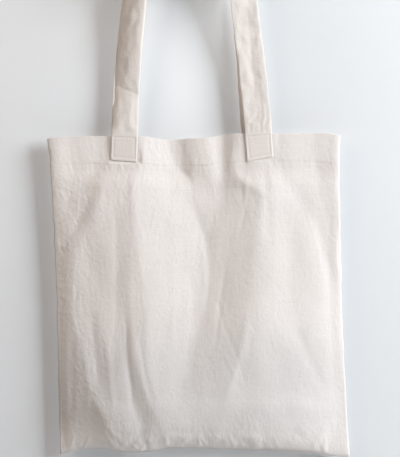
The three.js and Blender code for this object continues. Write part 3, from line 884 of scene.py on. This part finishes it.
def strap_path(which):
    if which == "front":
        left = [(-90.0, -31.8), (-89.2, -14), (-88.4, 4), (-87.6, 36), (-85.8, 68), (-83.4, 100), (-80.6, 130), (-77.4, 158), (-74.2, 184)]
        right = [(68.4, 184), (73.0, 140), (78.2, 100), (83.2, 50), (86.6, 14), (87.3, 0), (87.8, -12), (89.4, -31.4)]
    else:
        left = [(-89.6, -31.8), (-90.0, -14), (-90.4, 4), (-89.3, 36), (-87.5, 68), (-85.3, 100), (-82.5, 130), (-79.3, 158), (-76.3, 184)]
        right = [(68.2, 184), (72.4, 140), (76.2, 100), (79.0, 50), (81.6, 14), (83.0, 0), (84.6, -12), (88.4, -31.4)]
    arc = []
    R, cz = 70.0, CROWN_TOP - TOP - 70.8
    for a in np.linspace(math.radians(172), math.radians(8), 13):
        arc.append((-1.8 + R * 1.0 * math.cos(a), cz + R * math.sin(a)))
    pts = left + arc + right
    return [(x, TOP + z) for x, z in pts]

def build_strap(which):
    fy = -1.0 if which == "front" else 1.0
    n = 520
    line, total = spline(strap_path(which), n)
    s = np.linspace(0, total, n)
    near_l, near_r = s, total - s
    rise_l, rise_r = near_l - SEWN, near_r - SEWN
    half = total / 2
    left_leg = s < half
    pl, pr = seat(which, -1), seat(which, 1)
    # out from the middle plane, and turned about its own line
    if which == "front":
        yl = curve([(-40, pl), (0, pl), (16, pl - 0.5), (56, pl - 2.0), (100, pl + 0.4), (184, 13.0), (240, 18.3), (320, 18.5)], rise_l)
        yr = curve([(-40, pr), (0, pr), (16, pr - 0.1), (60, pr + 0.4), (120, pr + 1.2), (184, 12.0), (250, 18.3), (320, 18.5)], rise_r)
        tl = curve([(-40, 0), (0, 0), (14, 2), (34, 3), (58, 5), (80, 8), (130, 12), (178, 15), (230, 52), (270, 82), (320, 82)], rise_l)
        tr = curve([(-40, 0), (0, 0), (20, 0), (120, 2), (178, 8), (215, 42), (262, 88), (275, 90), (320, 90)], rise_r)
    else:
        yl = curve([(-40, pl), (0, pl), (40, pl - 0.6), (100, pl + 0.2), (184, 11.0), (240, 18.0), (320, 18.5)], rise_l)
        yr = curve([(-40, pr), (0, pr), (40, pr - 0.4), (110, pr + 0.4), (184, 11.0), (250, 18.3), (320, 18.5)], rise_r)
        tl = curve([(-40, 0), (0, 0), (12, 6), (36, 16), (80, 21), (130, 26), (178, 32), (230, 68), (268, 90), (320, 90)], rise_l)
        tr = curve([(-40, 0), (0, 0), (30, 4), (90, 10), (140, 16), (178, 24), (225, 62), (266, 90), (320, 90)], rise_r)
    y = np.where(left_leg, yl, yr)
    turn = np.where(left_leg, tl, tr)
    soften = lambda v: np.convolve(np.pad(v, 6, mode="edge"), np.ones(13) / 13, mode="valid")
    y, turn = soften(y), np.radians(soften(turn))
    tx, tz = np.gradient(line[:, 0]), np.gradient(line[:, 1])
    ln = np.hypot(tx, tz); tx, tz = tx / ln, tz / ln
    T = np.stack([tx, np.zeros(n), tz], -1)
    outward = np.stack([-tz, np.zeros(n), tx], -1)
    # sewn ends sit a little askew
    skew = np.zeros(n)
    if which == "front":
        skew += math.radians(-2.4) * (1 - smooth(near_l / 60)) + math.radians(6.5) * (1 - smooth(near_r / 44))
    else:
        skew += math.radians(1.5) * (1 - smooth(near_l / 60)) + math.radians(-2.0) * (1 - smooth(near_r / 60))
    centre = np.stack([line[:, 0], fy * y, line[:, 1]], -1)

    # section: outer face, rounded edge, inner face, rounded edge. across > 0 is on the left of the left leg and on the right of the right leg
    m = 30
    u_out = np.sin(np.linspace(-1, 1, m) * math.pi / 2 * 0.985)
    prof = 0.5 * T_STRAP * (0.42 + 0.58 * np.sqrt(np.clip(1 - np.abs(u_out) ** 5, 0, 1))) * np.sqrt(np.clip(1 - np.abs(u_out) ** 16, 0, 1))
    us = np.concatenate([u_out, u_out[::-1]])
    hs = np.concatenate([prof, -prof[::-1]])
    cols = len(us)
    is_out = np.arange(cols) < m
    half_w = STRAP_W / 2 + 0.1 * np.sin(s / 9.0) + 0.12 * np.sin(s / 3.7 + 1)
    seed = 71 if which == "front" else 83
    stepL = total / (n - 1)
    WIDE = 71
    Xg, Sg = np.meshgrid(np.linspace(-17.5, 17.5, WIDE), s)
    loose = smooth((np.minimum(near_l, near_r) - SEWN - 1) / 10)[:, None]
    both = 0.20 * spectral((n, WIDE), stepL, 14, 60, seed, (1.6, 1.0)) * loose        # bends both faces together
    crush = np.zeros((n, WIDE))
    rng = np.random.RandomState(seed + 1)
    for _ in range(340):
        c0 = rng.uniform(0, total); x0 = rng.uniform(-16, 16)
        L, w = rng.uniform(3, 14), rng.uniform(0.7, 1.2)
        a = rng.normal(0.0, 0.5)
        hgt = rng.uniform(0.03, 0.10) * rng.choice([-1, 1])
        r0, r1 = int(max(0, (c0 - L * 1.5) / stepL)), int(min(n, (c0 + L * 1.5) / stepL + 2))
        xx, ss = Xg[r0:r1] - x0, Sg[r0:r1] - c0
        p = xx * math.sin(a) + ss * math.cos(a)
        q = xx * math.cos(a) - ss * math.sin(a)
        t = np.clip(1 - (p / L) ** 2, 0, 1)
        crush[r0:r1] += hgt * t * t * np.exp(-(q / w) ** 2)
    crush += 0.035 * spectral((n, WIDE), stepL, 2.6, 9, seed + 2, (1.4, 1.0), 0.3)
    def crease(pts, w, a, side=0.0, ends=0.12, field=None):
        stroke(crush if field is None else field, Xg, Sg, pts, w, a, side, ends)
    cup = np.zeros(n)
    lean = np.zeros((n, WIDE))
    twist = np.zeros((n, WIDE))
    R0 = total - SEWN
    if which == "front":
        # a slanting fold crosses the left leg: above it the strap leans out and turns
        past = Sg - SEWN - (61.8 + 6.8 * Xg / 17.5)
        rel = 0.5 * (past + np.sqrt(past ** 2 + 0.5))
        fade = 1 - smooth((rise_l - 100) / 80)[:, None]
        lean += 2.6 * (1 - np.exp(-rel / 16.0)) * fade * left_leg[:, None]
        twist += math.radians(5) * (1 - np.exp(-rel / 11.0)) * (1 - 0.2 * smooth((rise_l - 230) / 60)[:, None]) * left_leg[:, None]
        crease([(-17.6, SEWN + 55.2), (17.6, SEWN + 68.4)], 0.7, -0.34, 0.4, 0.02)
        cup += 0.019 * smooth((rise_l - 2) / 24) * (1 - smooth((rise_l - 190) / 60)) * left_leg
        # soft lengthwise folds under it
        for x0, x1, w, a in ((9, 10, 2.8, 0.30), (1, 3, 2.4, -0.20), (-8, -7, 3.0, 0.16), (-14, -12, 2.0, -0.16)):
            crease([(x0, SEWN + 3), (x1, SEWN + 36), (x1 + 0.6, SEWN + 66)], w, a, 0.0, 0.25, both)
        crease([(-16, SEWN + 12), (-6, SEWN + 10)], 1.6, 0.3)
        crease([(-16, SEWN + 7), (-4, SEWN + 5)], 1.4, -0.3)
        # the lengthwise crease of the right leg: a shallow trough
        run = smooth((rise_r - 8) / 30) * smooth((250 - rise_r) / 40)
        mid = curve([(0, 0.0), (100, 0.02), (178, 0.26), (320, 0.2)], rise_r)
        both += run[:, None] * (1.25 * np.abs(Xg / 17.5 - mid[:, None]) ** 1.05 - 0.5)
        crease([(0.6, R0 - 14), (1.0, R0 - 100), (4.6, R0 - 178)], 0.9, -0.12)
        crease([(6.0, R0 - 24), (6.6, R0 - 90), (11, R0 - 170)], 1.0, -0.12)
        for k in range(9):
            x0 = -14 + 3.4 * k
            crease([(x0, R0 - 1.5), (x0 + (-1) ** k * 1.6, R0 - 12 - 3 * (k % 3))], 1.2, 0.26 * (-1) ** k)
        crease([(-15, R0 - 15), (-6, R0 - 24), (0, R0 - 34)], 1.5, 0.40)
        crease([(-3, R0 - 8), (3, R0 - 20), (2, R0 - 34)], 1.3, 0.36)
        crease([(6, R0 - 7), (11, R0 - 16), (16, R0 - 20)], 1.4, -0.36)
        crease([(5, R0 - 10), (10, R0 - 24), (9, R0 - 40)], 1.4, 0.32)
        crease([(-10, R0 - 8), (-8, R0 - 22)], 1.6, -0.34)
    else:
        cup += 0.012 * smooth((rise_l - 2) / 30) * left_leg
        run = smooth((rise_l - 20) / 30) * smooth((250 - rise_l) / 40)
        both += run[:, None] * (0.6 * np.abs(Xg / 17.5 + 0.1) ** 1.1 - 0.25)
    both = both * smooth((np.minimum(near_l, near_r) - SEWN + 0.5) / 5)[:, None]
    quiet = 0.5 + 0.5 * loose
    crush = crush * quiet
    # the box stitching sinks a groove round each sewn end and leaves a soft rim outside it
    box = np.zeros((n, WIDE))
    for near in (near_l, near_r):
        v = near[:, None]
        dx = (STRAP_W / 2 - 3.4) - np.abs(Xg)                 # + inside the box
        dv = np.minimum(v - 3.6, (SEWN - 1.8) - v)
        d = np.minimum(dx, dv)
        zone = smooth((SEWN + 3 - v) / 3)
        box += zone * (-0.52 * np.exp(-(d / 0.85) ** 2) + 0.22 * np.exp(-((d + 2.0) / 1.2) ** 2) - 0.10 * smooth(d / 4))
    pucker = 0.06 * np.sin(Sg * 2.3) * np.exp(-((np.abs(Xg) - (STRAP_W / 2 - 3.4)) / 1.6) ** 2)
    box += pucker * smooth((SEWN + 2 - np.minimum(near_l, near_r)) / 3)[:, None]
    def sample(field, row, u):
        c = np.clip((u + 1) / 2 * (WIDE - 1), 0, WIDE - 1.001)
        j = c.astype(int); v = c - j
        return field[row][j] * (1 - v) + field[row][j + 1] * v
    V = np.zeros((n, cols, 3)); FL = np.zeros((n, cols, 2))
    for i in range(n):
        b = sample(both, i, us)
        c = sample(crush, i, us)
        h = hs + b + np.where(is_out, c + sample(box, i, us), c * 0.5)
        if near_l[i] > SEWN + 4 and near_r[i] > SEWN + 4:
            h = h + np.where(is_out, 0, 0.28 * np.exp(-(us / 0.05) ** 2))     # the fold's opening, inside
        across = us * half_w[i]
        if cup[i] > 1e-4:
            k = cup[i]
            h = h - (1 - np.cos(across * k)) / k
            across = np.sin(across * k) / k
        a = turn[i] + sample(twist, i, us)
        ca, sa = np.cos(a)[:, None], np.sin(a)[:, None]
        face = np.array([0, fy, 0]) * ca + outward[i] * sa
        wide = np.cross(T[i], face)
        cs, ss = math.cos(skew[i]), math.sin(skew[i])
        wide = wide * cs + T[i] * ss
        V[i] = centre[i] - across[:, None] * wide + h[:, None] * face
        V[i, :, 1] += fy * sample(lean, i, us)
        FL[i, :, 0] = us * half_w[i] + np.where(is_out, 0, 90) + (300 if which == "front" else 600)
        FL[i, :, 1] = s[i]
    # each end is turned under: a rounded edge
    def rounded(row, T_, k, grow):
        c = row.mean(0)
        d = row - c
        return c + d * np.array([1 - 0.006 * grow, k, 1 - 0.006 * grow]) + T_ * 0.35 * grow
    head = np.array([rounded(V[0], -T[0], 0.35, 1.6), rounded(V[0], -T[0], 0.8, 1.0)])
    tail = np.array([rounded(V[-1], T[-1], 0.8, 1.0), rounded(V[-1], T[-1], 0.35, 1.6)])
    V = np.concatenate([head, V, tail])
    FL = np.concatenate([FL[:1] - [0, 0.5], FL[:1] - [0, 0.3], FL, FL[-1:] + [0, 0.3], FL[-1:] + [0, 0.5]])
    rows = n + 4
    F = [tuple(q) for q in grid_faces(rows, cols, 0, flip=False, wrap=True)]
    def cap(row, flip):
        base = row * cols
        q = [(base + k, base + k + 1, base + cols - 2 - k, base + cols - 1 - k) for k in range(m - 1)]
        return [x[::-1] if flip else x for x in q]
    F += cap(0, True) + cap(rows - 1, False)
    ob = make(f"{which}_strap_band", V.reshape(-1, 3), F, FL.reshape(-1, 2))
    info = dict(line=line, y=y, T=T, skew=skew, s=s, total=total, fy=fy)
    return ob, info

import bmesh
def outward_normals(ob):
    bm = bmesh.new(); bm.from_mesh(ob.data)
    bmesh.ops.recalc_face_normals(bm, faces=bm.faces)
    bm.to_mesh(ob.data); bm.free()

for which in ("front", "back"):
    ob, info = build_strap(which)
    outward_normals(ob)
    dress(ob, strap_canvas)
    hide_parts(f"{which}_strap", f"{which}_strap_left_end", f"{which}_strap_right_end")
    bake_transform(ob)
    # the box stitch on each sewn end
    fy = info["fy"]
    for word, near in (("left", info["s"]), ("right", info["total"] - info["s"])):
        order = np.argsort(near)
        def point(along, across):
            i = int(np.argmin(np.abs(near - along)))
            c = np.array([info["line"][i, 0], fy * (info["y"][i] + T_STRAP / 2 - 0.46), info["line"][i, 1]])
            wide = np.cross(info["T"][i], np.array([0, fy, 0]))
            w = wide * math.cos(info["skew"][i]) + info["T"][i] * math.sin(info["skew"][i])
            return c - across * w
        hw, lo, hi = STRAP_W / 2 - 3.4, 3.6, SEWN - 1.8
        parts = []
        for k, (p, q) in enumerate((((lo, -hw), (lo, hw)), ((lo, hw), (hi, hw)), ((hi, hw), (hi, -hw)), ((hi, -hw), (lo, -hw)))):
            seg = [point(p[0] + (q[0] - p[0]) * t, p[1] + (q[1] - p[1]) * t) for t in np.linspace(0, 1, 30)]
            parts.append(stitch_run(seg, np.tile([0, fy, 0], (30, 1)).astype(float), 2.7, 0.66, 0.22, seed=40 + k))
        v, f, t = merge(parts)
        st = make(f"{which}_{word}_box_thread", v, f, t)
        outward_normals(st)
        dress(st, thread)
        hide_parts(f"{which}_{word}_box_stitch")
        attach(st, BODY[which])

# ------------------------------------------------------------------ stage: wall, floor, light
def flat_material(name, colour):
    m = bpy.data.materials.new(name)
    m.use_nodes = True
    b = m.node_tree.nodes["Principled BSDF"]
    b.inputs["Base Color"].default_value = (*colour, 1)
    b.inputs["Roughness"].default_value = 0.95
    b.inputs["Specular IOR Level"].default_value = 0.1
    return m

wall_mesh = bpy.data.meshes.new("wall")
# it stands close behind the bag and leans back a little higher up, so that it clears the strap crowns
_zs = np.concatenate([[-1.6], np.linspace(-0.9, 0.3, 41), [2.4]])
_ys = curve([(-1.6, 0.0140), (-0.70, 0.0142), (-0.45, 0.0160), (-0.27, 0.0185), (-0.17, 0.0205), (-0.10, 0.0255), (0.0, 0.0395), (0.15, 0.047), (0.3, 0.050), (2.4, 0.055)], _zs)
wall_mesh.from_pydata([(x, float(y_), float(z_)) for z_, y_ in zip(_zs, _ys) for x in (-4, 4)], [],
                      [(2 * i, 2 * i + 1, 2 * i + 3, 2 * i + 2) for i in range(len(_zs) - 1)])
wall_mesh.polygons.foreach_set("use_smooth", [True] * len(wall_mesh.polygons))
wall = bpy.data.objects.new("wall", wall_mesh)
bpy.context.scene.collection.objects.link(wall)
wm = flat_material("wall_paint", (0.715, 0.748, 0.775))
wm.node_tree.nodes["Principled BSDF"].inputs["Emission Color"].default_value = (0.97, 0.99, 1.0, 1)
wm.node_tree.nodes["Principled BSDF"].inputs["Emission Strength"].default_value = 0.06
nt = wm.node_tree
geo = nt.nodes.new("ShaderNodeNewGeometry")
clear = nt.nodes.new("ShaderNodeBsdfTransparent")
mixs = nt.nodes.new("ShaderNodeMixShader")
nt.links.new(geo.outputs["Backfacing"], mixs.inputs[0])
nt.links.new(nt.nodes["Principled BSDF"].outputs[0], mixs.inputs[1])
nt.links.new(clear.outputs[0], mixs.inputs[2])
nt.links.new(mixs.outputs[0], nt.nodes["Material Output"].inputs[0])
# painted light: soft glowing spots in the wall paint between the straps, left of the left strap and along the far left
# side lift the cast shadows there
def glow(centre, size, value):
    take = nt.nodes.new("ShaderNodeVectorMath"); take.operation = "SUBTRACT"
    nt.links.new(geo.outputs["Position"], take.inputs[0]); take.inputs[1].default_value = centre
    div = nt.nodes.new("ShaderNodeVectorMath"); div.operation = "DIVIDE"
    nt.links.new(take.outputs[0], div.inputs[0]); div.inputs[1].default_value = size
    dot = nt.nodes.new("ShaderNodeVectorMath"); dot.operation = "DOT_PRODUCT"
    nt.links.new(div.outputs[0], dot.inputs[0]); nt.links.new(div.outputs[0], dot.inputs[1])
    neg = nt.nodes.new("ShaderNodeMath"); neg.operation = "MULTIPLY"; neg.inputs[1].default_value = -1.0
    nt.links.new(dot.outputs["Value"], neg.inputs[0])
    ex = nt.nodes.new("ShaderNodeMath"); ex.operation = "EXPONENT"
    nt.links.new(neg.outputs[0], ex.inputs[0])
    out = nt.nodes.new("ShaderNodeMath"); out.operation = "MULTIPLY"; out.inputs[1].default_value = value
    nt.links.new(ex.outputs[0], out.inputs[0])
    return out.outputs[0]
side_glow = nt.nodes.new("ShaderNodeMath"); side_glow.operation = "ADD"
total_glow = nt.nodes.new("ShaderNodeMath"); total_glow.operation = "ADD"
more_glow = nt.nodes.new("ShaderNodeMath"); more_glow.operation = "ADD"
nt.links.new(glow((0.0, 0.03, -0.17), (0.085, 1.0, 0.12), 0.17), total_glow.inputs[0])
nt.links.new(glow((-0.26, 0.03, -0.16), (0.13, 1.0, 0.30), 0.07), total_glow.inputs[1])
nt.links.new(glow((-0.135, 0.03, -0.12), (0.05, 1.0, 0.13), 0.09), side_glow.inputs[0])
nt.links.new(total_glow.outputs[0], side_glow.inputs[1])
nt.links.new(side_glow.outputs[0], more_glow.inputs[0]); more_glow.inputs[1].default_value = 0.045
nt.links.new(more_glow.outputs[0], nt.nodes["Principled BSDF"].inputs["Emission Strength"])
wall_mesh.materials.append(wm)
wall.visible_shadow = False
wall.visible_diffuse = False
wall.visible_glossy = False
wall.visible_transmission = False

floor_mesh = bpy.data.meshes.new("floor")
floor_mesh.from_pydata([(-6, -6, -1.25), (6, -6, -1.25), (6, 6, -1.25), (-6, 6, -1.25)], [], [(0, 1, 2, 3)])
floor = bpy.data.objects.new("floor", floor_mesh)
bpy.context.scene.collection.objects.link(floor)
floor_mesh.materials.append(flat_material("floor_paint", (0.78, 0.78, 0.78)))

# further off the floor fades into a pale studio backdrop, seen from the other sides only
_n = 48
far_mesh = bpy.data.meshes.new("far_floor")
far_mesh.from_pydata([(r_ * math.cos(2 * math.pi * k / _n), r_ * math.sin(2 * math.pi * k / _n), -1.2495) for r_ in (1.3, 5.6) for k in range(_n)], [],
                     [(k, _n + k, _n + (k + 1) % _n, (k + 1) % _n) for k in range(_n)])
far = bpy.data.objects.new("far_floor", far_mesh)
bpy.context.scene.collection.objects.link(far)
fm = flat_material("far_floor_paint", (0.4, 0.4, 0.4))
ft = fm.node_tree
fgeo = ft.nodes.new("ShaderNodeNewGeometry")
flen = ft.nodes.new("ShaderNodeVectorMath"); flen.operation = "LENGTH"
fr = ft.nodes.new("ShaderNodeMapRange"); fr.interpolation_type = "SMOOTHSTEP"
fr.inputs["From Min"].default_value = 1.9
fr.inputs["From Max"].default_value = 3.6
ft.links.new(fgeo.outputs["Position"], flen.inputs[0])
ft.links.new(flen.outputs["Value"], fr.inputs["Value"])
fb = ft.nodes["Principled BSDF"]
fb.inputs["Emission Color"].default_value = (0.95, 0.975, 1.0, 1)
fb.inputs["Emission Strength"].default_value = 0.56
fclear = ft.nodes.new("ShaderNodeBsdfTransparent")
fmix = ft.nodes.new("ShaderNodeMixShader")
ft.links.new(fr.outputs[0], fmix.inputs[0])
ft.links.new(fclear.outputs[0], fmix.inputs[1])
ft.links.new(fb.outputs[0], fmix.inputs[2])
ft.links.new(fmix.outputs[0], ft.nodes["Material Output"].inputs[0])
far_mesh.materials.append(fm)
far.visible_shadow = False
far.visible_diffuse = False
far.visible_glossy = False
far.visible_transmission = False
ring_mesh = bpy.data.meshes.new("backdrop")
_rv = [(5.6 * math.cos(2 * math.pi * k / _n), 5.6 * math.sin(2 * math.pi * k / _n), z) for z in (-1.26, 4.5) for k in range(_n)]
ring_mesh.from_pydata(_rv, [], [(k, (k + 1) % _n, _n + (k + 1) % _n, _n + k) for k in range(_n)])
backdrop = bpy.data.objects.new("backdrop", ring_mesh)
bpy.context.scene.collection.objects.link(backdrop)
bm_ = flat_material("backdrop_paint", (0.5, 0.5, 0.5))
bm_.node_tree.nodes["Principled BSDF"].inputs["Emission Color"].default_value = (0.95, 0.975, 1.0, 1)
bm_.node_tree.nodes["Principled BSDF"].inputs["Emission Strength"].default_value = 0.52
ring_mesh.materials.append(bm_)
backdrop.visible_shadow = False
backdrop.visible_diffuse = False
backdrop.visible_glossy = False
backdrop.visible_transmission = False

def area(name, place_, aim, size, power, colour=(1, 1, 1)):
    data = bpy.data.lights.new(name, "AREA")
    data.shape = "RECTANGLE"
    data.size, data.size_y = size
    data.energy = power
    data.color = colour
    ob = bpy.data.objects.new(name, data)
    bpy.context.scene.collection.objects.link(ob)
    ob.location = place_
    ob.rotation_mode = "QUATERNION"
    ob.rotation_quaternion = (Vector(aim) - Vector(place_)).to_track_quat("-Z", "Y")
    return ob

mid = Vector((0, 0, (TOP - 150) * 0.001))
KEY, FILL, AMBIENT = 50.0, 12.0, 0.05
area("window", (1.62, -0.86, 0.26), mid, (0.8, 1.2), KEY, (0.985, 1.0, 1.02))
area("room", (-1.30, -0.95, 0.50), mid, (1.2, 1.2), FILL, (1.0, 0.82, 0.69))
area("rear", (0.7, 2.1, -0.05), mid, (2.0, 1.6), 34, (1.0, 0.995, 0.99))

world = bpy.data.worlds.new("world")
bpy.context.scene.world = world
world.use_nodes = True
world.node_tree.nodes["Background"].inputs[0].default_value = (0.95, 0.97, 1.0, 1)
world.node_tree.nodes["Background"].inputs[1].default_value = AMBIENT

bpy.context.scene.view_settings.view_transform = "Standard"
bpy.context.scene.view_settings.look = "None"
